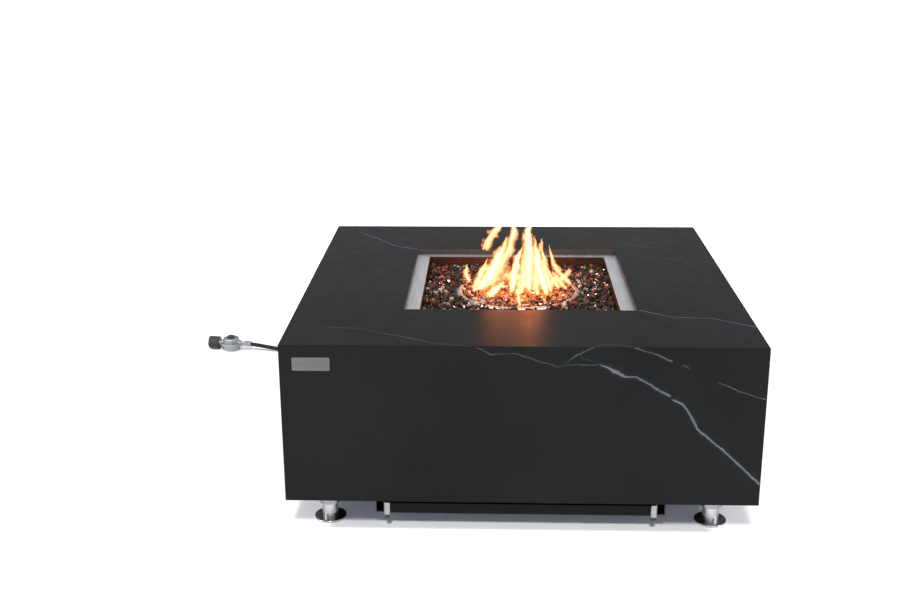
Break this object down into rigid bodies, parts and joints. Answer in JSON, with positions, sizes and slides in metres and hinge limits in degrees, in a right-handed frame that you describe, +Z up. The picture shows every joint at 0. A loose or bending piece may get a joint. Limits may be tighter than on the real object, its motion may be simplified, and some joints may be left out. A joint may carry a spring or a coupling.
{
  "type": "gas fire pit table",
  "caption": "Square low gas fire-pit table with porcelain panels, recessed burner pan with fire glass, levelling feet, slide-out lid tray and gas hose.",
  "frame": {"origin": "on the floor under the table's centre", "axes": "+Z up; the front panel faces -Y, the controls -X, and the gas hose leaves at +Y"},
  "size_m": [1.5354, 1.3954, 0.461],
  "materials": {
    "porcelain": "honed, bluish white veins",
    "frame_steel": "black powder coat",
    "stainless": "brushed",
    "polished_steel": "polished",
    "zinc": "zinc plated",
    "fire_glass": "reflective brown and black chips",
    "brass": "machined",
    "die_cast": "die cast",
    "black_plastic": "fine grain",
    "pointer_white": "moulded",
    "hose_rubber": "smooth",
    "insulator": "glazed"
  },
  "bodies": {
    "table": {"top_slab": "porcelain", "cutout_edges": "porcelain", "front_panel": "porcelain", "right_panel": "porcelain", "rear_panel": "porcelain", "left_panel": "porcelain", "low_rails": "frame_steel", "high_rails": "frame_steel", "burner_rails": "frame_steel", "corner_posts": "frame_steel", "foot_plates": "frame_steel", "pan_ledges": "frame_steel", "tray_rails": "frame_steel", "tray_cross_rail": "frame_steel", "foot_sleeves": "polished_steel", "frame_bolts": "zinc", "lock_nuts": "zinc", "plate_screws": "zinc", "outer_runners": "zinc", "burner_pan": "stainless", "burner_ring": "stainless", "burner_hub": "stainless", "burner_spokes": "stainless", "heat_shield": "stainless", "pilot_bracket": "stainless", "thermocouple": "stainless", "control_dish": "stainless", "name_plate": "stainless", "inlet_pipe": "stainless", "burner_pipe": "stainless", "fire_glass": "fire_glass", "air_mixer": "brass", "jet_elbow": "brass", "bulkhead": "brass", "gas_valve": "die_cast", "regulator_body": "die_cast", "hose_crimp": "zinc", "igniter_housing": "black_plastic", "hose_tie": "black_plastic", "regulator_cap": "black_plastic", "spark_electrode": "insulator", "pilot_leads": "hose_rubber", "hose_lead": "hose_rubber", "hose_coil": "hose_rubber", "hose_tail": "hose_rubber"},
    "valve_stem": {"valve_stem": "zinc"},
    "knob": {"control_knob": "black_plastic", "knob_pointer": "pointer_white"},
    "igniter_button": {"igniter_button": "black_plastic"},
    "tray": {"tray": "frame_steel", "inner_runners": "zinc", "tray_stops": "black_plastic"},
    "middle_runners": {"middle_runners": "zinc"},
    "lid": {"burner_lid": "frame_steel", "lid_handle": "frame_steel"},
    "hand_wheel": {"hand_wheel": "black_plastic"},
    "foot_front_left": {"foot_front_left": "polished_steel"},
    "foot_front_right": {"foot_front_right": "polished_steel"},
    "foot_rear_left": {"foot_rear_left": "polished_steel"},
    "foot_rear_right": {"foot_rear_right": "polished_steel"}
  },
  "joints": [
    {"name": "tray_slide", "type": "slide", "parent": "table", "child": "tray", "axis": [0, -1, 0], "range_m": [0, 0.5]},
    {"name": "runner_slide", "type": "slide", "parent": "table", "child": "middle_runners", "axis": [0, -1, 0], "range_m": [0, 0.25]},
    {"name": "lid_lift", "type": "slide", "parent": "tray", "child": "lid", "axis": [0, 0, 1], "range_m": [0, 0.022]},
    {"name": "knob_push", "type": "slide", "parent": "table", "child": "valve_stem", "axis": [1, 0, 0], "range_m": [0, 0.003], "stiffness_N_per_m": 800},
    {"name": "knob_turn", "type": "hinge", "parent": "valve_stem", "child": "knob", "pos_m": [-0.5245, 0.188, 0.29], "axis": [-1, 0, 0], "range_deg": [-90, 90]},
    {"name": "igniter_push", "type": "slide", "parent": "table", "child": "igniter_button", "axis": [1, 0, 0], "range_m": [0, 0.005], "stiffness_N_per_m": 600},
    {"name": "hand_wheel_turn", "type": "hinge", "parent": "table", "child": "hand_wheel", "pos_m": [-0.96917, 0.70565, 0.022], "axis": [-0.9925, 0.1219, 0], "continuous": true},
    {"name": "front_left_foot_turn", "type": "hinge", "parent": "table", "child": "foot_front_left", "pos_m": [-0.446, -0.446, 0.05], "axis": [0, 0, 1], "continuous": true},
    {"name": "front_right_foot_turn", "type": "hinge", "parent": "table", "child": "foot_front_right", "pos_m": [0.446, -0.446, 0.05], "axis": [0, 0, 1], "continuous": true},
    {"name": "rear_left_foot_turn", "type": "hinge", "parent": "table", "child": "foot_rear_left", "pos_m": [-0.446, 0.446, 0.05], "axis": [0, 0, 1], "continuous": true},
    {"name": "rear_right_foot_turn", "type": "hinge", "parent": "table", "child": "foot_rear_right", "pos_m": [0.446, 0.446, 0.05], "axis": [0, 0, 1], "continuous": true}
  ],
  "couplings": [
    {"joint": "runner_slide", "follows": "tray_slide", "ratio": 0.5}
  ]
}
